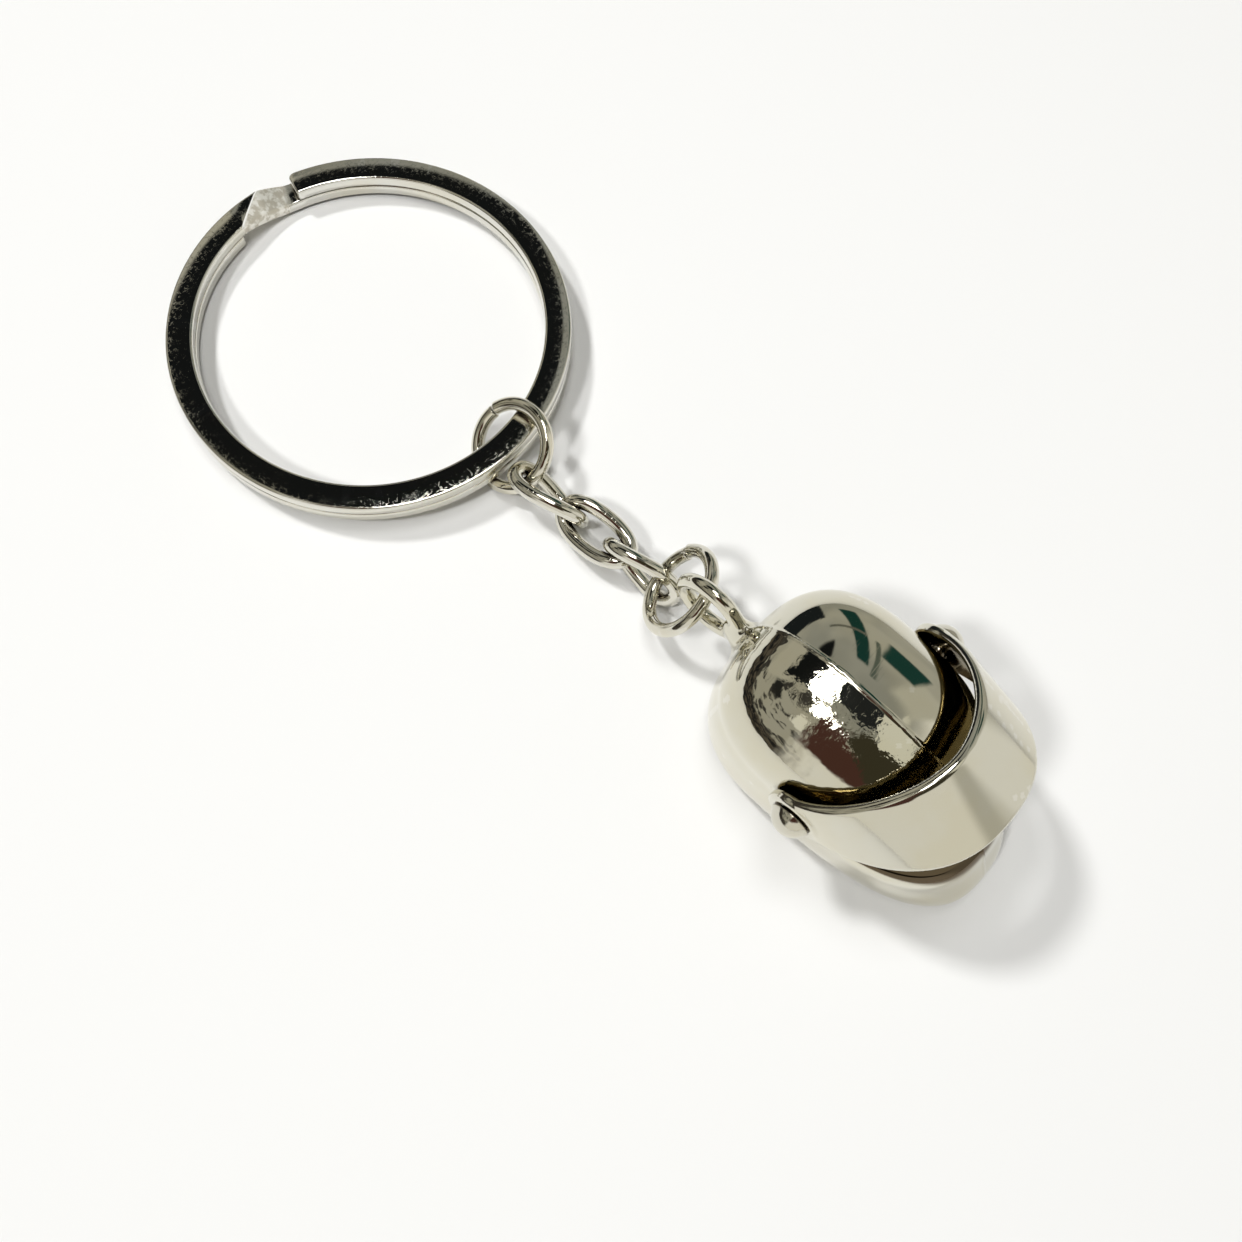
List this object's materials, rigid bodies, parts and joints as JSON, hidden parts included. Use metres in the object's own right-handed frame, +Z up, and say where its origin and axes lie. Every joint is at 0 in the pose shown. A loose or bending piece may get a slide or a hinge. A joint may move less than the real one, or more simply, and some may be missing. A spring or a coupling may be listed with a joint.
{
  "type": "split key ring",
  "caption": "Split key ring with open jump rings, a short twisted curb chain and a hollow full-face helmet charm whose visor swings on two side rivets.",
  "frame": {"origin": "on the ground under the centre of the split ring", "axes": "+X along the chain to the helmet, +Z up, the helmet upright on its neck rim and facing +X"},
  "size_m": [0.0744, 0.03, 0.0165],
  "materials": {
    "ring_plate": "bright nickel plate on tempered flat steel wire, finely scratched",
    "wire_plate": "bright nickel plate on round steel wire",
    "helmet_plate": "bright nickel plate on a zinc casting, slightly uneven",
    "visor_plate": "bright nickel plate, smooth outside",
    "rivet_plate": "bright nickel plate, domed and tumbled"
  },
  "bodies": {
    "split_ring": {"split_ring": "ring_plate"},
    "ring_jump_ring": {"ring_jump_ring": "wire_plate"},
    "chain_link_1": {"chain_link_1": "wire_plate"},
    "chain_link_2": {"chain_link_2": "wire_plate"},
    "chain_link_3": {"chain_link_3": "wire_plate"},
    "charm_jump_ring": {"charm_jump_ring": "wire_plate"},
    "helmet": {"helmet_shell": "helmet_plate", "visor_rivet_right": "rivet_plate", "visor_rivet_left": "rivet_plate"},
    "visor": {"visor": "visor_plate"}
  },
  "joints": [
    {"name": "jump_ring_slides_round_split_ring", "type": "hinge", "parent": "split_ring", "child": "ring_jump_ring", "pos_m": [0, 0, 0.00063], "axis": [-0.0419, 0, 0.9991], "continuous": true},
    {"name": "link_1_rocks_in_jump_ring", "type": "hinge", "parent": "ring_jump_ring", "child": "chain_link_1", "pos_m": [0.01712, -0.00056, 0.00245], "axis": [0.2381, 0.7414, 0.6274], "range_deg": [-30, 40]},
    {"name": "link_2_rocks_in_link_1", "type": "hinge", "parent": "chain_link_1", "child": "chain_link_2", "pos_m": [0.02035, -0.0007, 0.00162], "axis": [-0.244, 0.9229, 0.298], "range_deg": [-35, 35]},
    {"name": "link_3_rocks_in_link_2", "type": "hinge", "parent": "chain_link_2", "child": "chain_link_3", "pos_m": [0.0259, 0.00055, 0.00219], "axis": [0.088, 0.9597, 0.2669], "range_deg": [-25, 25]},
    {"name": "charm_ring_rocks_in_link_3", "type": "hinge", "parent": "chain_link_3", "child": "charm_jump_ring", "pos_m": [0.02901, -0.00035, 0.00174], "axis": [-0.244, 0.9229, 0.298], "range_deg": [-35, 35]},
    {"name": "helmet_swings_on_charm_ring", "type": "hinge", "parent": "charm_jump_ring", "child": "helmet", "pos_m": [0.03283, -0.00101, 0.00608], "axis": [0.012, 0.8546, 0.5192], "range_deg": [-40, 40]},
    {"name": "visor_pivot", "type": "hinge", "parent": "helmet", "child": "visor", "pos_m": [0.0463, 0, 0.0096], "axis": [0, 1, 0], "range_deg": [-60, 32]}
  ]
}
